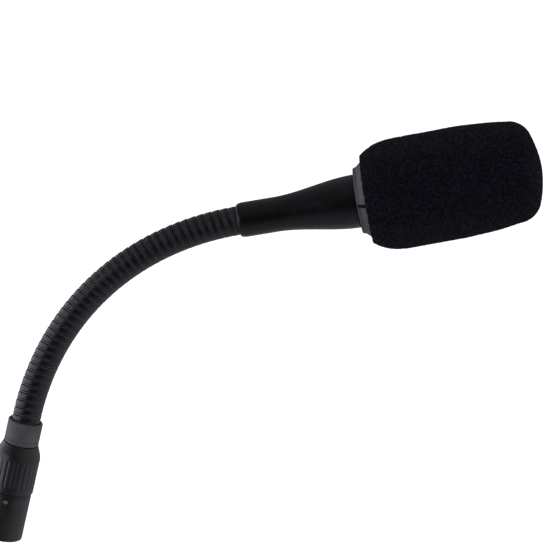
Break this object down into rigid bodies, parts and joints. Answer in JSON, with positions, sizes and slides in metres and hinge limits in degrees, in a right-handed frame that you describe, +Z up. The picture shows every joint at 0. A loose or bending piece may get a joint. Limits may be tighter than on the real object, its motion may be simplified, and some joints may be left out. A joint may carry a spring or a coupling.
{
  "type": "gooseneck microphone",
  "caption": "Podium microphone on a bendable steel gooseneck, with a three-pin plug base, a tapered head sleeve and a slip-on foam windscreen",
  "frame": {"origin": "centre of the plug's front rim, on the plug's axis", "axes": "+Z up the plug's axis towards the neck; the neck leaves along +Z and bends in the XZ plane towards +X; +Y is the side of the plug's latch window"},
  "size_m": [0.2043, 0.0468, 0.2326],
  "materials": {
    "black_chrome": "black plated metal, satin",
    "grey_collar": "dark grey moulded plastic, satin",
    "nickel": "nickel plate",
    "dark_plastic": "moulded, matt",
    "gold_pin": "gold plated",
    "lead_red": "insulated lead",
    "lead_white": "insulated lead",
    "copper": "bare copper",
    "rubber": "soft black rubber",
    "satin_black": "semi-gloss black moulding",
    "foam": "open-cell black foam",
    "steel": "plain steel",
    "ferrite": "sintered magnet",
    "film": "thin plastic film",
    "felt": "wool felt",
    "board": "printed circuit board",
    "neck_winding": "black oxide steel winding, satin"
  },
  "bodies": {
    "base": {"plug_shell": "black_chrome", "insert_screw": "nickel", "plug_insert": "dark_plastic", "pin_1": "gold_pin", "pin_2": "gold_pin", "pin_3": "gold_pin", "plug_lead_1": "lead_red", "plug_lead_2": "lead_white", "plug_lead_3": "copper", "base_barrel": "black_chrome", "neck_nut": "nickel", "cable_chuck": "dark_plastic", "neck_collar": "grey_collar", "collar_screw": "nickel", "neck_base_end": "neck_winding", "audio_cable": "rubber"},
    "link_01": {"neck_link_01": "neck_winding"},
    "link_02": {"neck_link_02": "neck_winding"},
    "link_03": {"neck_link_03": "neck_winding"},
    "link_04": {"neck_link_04": "neck_winding"},
    "link_05": {"neck_link_05": "neck_winding"},
    "link_06": {"neck_link_06": "neck_winding"},
    "link_07": {"neck_link_07": "neck_winding"},
    "link_08": {"neck_link_08": "neck_winding"},
    "link_09": {"neck_link_09": "neck_winding"},
    "link_10": {"neck_link_10": "neck_winding"},
    "link_11": {"neck_link_11": "neck_winding"},
    "head": {"neck_head_end": "neck_winding", "head_sleeve": "satin_black", "sleeve_screw": "nickel", "head_neck_nut": "nickel", "head_cable_clamp": "dark_plastic", "vent_ring": "grey_collar", "capsule_carrier": "dark_plastic", "basket_ring": "nickel", "grille_basket": "nickel", "basket_lining": "foam", "capsule_case": "steel", "mount_ring_rear": "rubber", "mount_ring_front": "rubber", "rear_chamber": "dark_plastic", "terminal_board": "board", "rear_felt": "felt", "yoke": "steel", "magnet": "ferrite", "pole_plate": "steel", "voice_coil": "copper", "diaphragm": "film", "front_cap": "dark_plastic", "lead_plus": "lead_red", "lead_minus": "lead_white"},
    "windscreen": {"foam_windscreen": "foam"}
  },
  "joints": [
    {"name": "neck_bend_1", "type": "hinge", "parent": "base", "child": "link_01", "pos_m": [0.00013, 0, 0.06203], "axis": [0, 1, 0], "range_deg": [-20, 12], "deforming": ["audio_cable"]},
    {"name": "neck_side_1", "type": "hinge", "parent": "link_01", "child": "link_02", "pos_m": [0.00117, 0, 0.07345], "axis": [0.9907, 0, -0.1358], "range_deg": [-14, 14]},
    {"name": "neck_bend_2", "type": "hinge", "parent": "link_02", "child": "link_03", "pos_m": [0.00325, 0, 0.08472], "axis": [0, 1, 0], "range_deg": [-20, 12]},
    {"name": "neck_side_2", "type": "hinge", "parent": "link_03", "child": "link_04", "pos_m": [0.00639, 0, 0.09574], "axis": [0.9472, 0, -0.3206], "range_deg": [-14, 14]},
    {"name": "neck_bend_3", "type": "hinge", "parent": "link_04", "child": "link_05", "pos_m": [0.0106, 0, 0.1064], "axis": [0, 1, 0], "range_deg": [-20, 12]},
    {"name": "neck_side_3", "type": "hinge", "parent": "link_05", "child": "link_06", "pos_m": [0.01587, 0, 0.11658], "axis": [0.8635, 0, -0.5044], "range_deg": [-14, 14]},
    {"name": "neck_bend_4", "type": "hinge", "parent": "link_06", "child": "link_07", "pos_m": [0.02215, 0, 0.12617], "axis": [0, 1, 0], "range_deg": [-20, 12]},
    {"name": "neck_side_4", "type": "hinge", "parent": "link_07", "child": "link_08", "pos_m": [0.02939, 0, 0.13506], "axis": [0.7423, 0, -0.6701], "range_deg": [-14, 14]},
    {"name": "neck_bend_5", "type": "hinge", "parent": "link_08", "child": "link_09", "pos_m": [0.03748, 0, 0.14317], "axis": [0, 1, 0], "range_deg": [-20, 12]},
    {"name": "neck_side_5", "type": "hinge", "parent": "link_09", "child": "link_10", "pos_m": [0.04634, 0, 0.15045], "axis": [0.5971, 0, -0.8022], "range_deg": [-14, 14]},
    {"name": "neck_bend_6", "type": "hinge", "parent": "link_10", "child": "link_11", "pos_m": [0.05585, 0, 0.15685], "axis": [0, 1, 0], "range_deg": [-20, 12]},
    {"name": "neck_side_6", "type": "hinge", "parent": "link_11", "child": "head", "pos_m": [0.0659, 0, 0.16235], "axis": [0.4397, 0, -0.8981], "range_deg": [-14, 14]},
    {"name": "windscreen_pull", "type": "slide", "parent": "head", "child": "windscreen", "axis": [0.9171, 0, 0.3987], "range_m": [0, 0.07]}
  ]
}
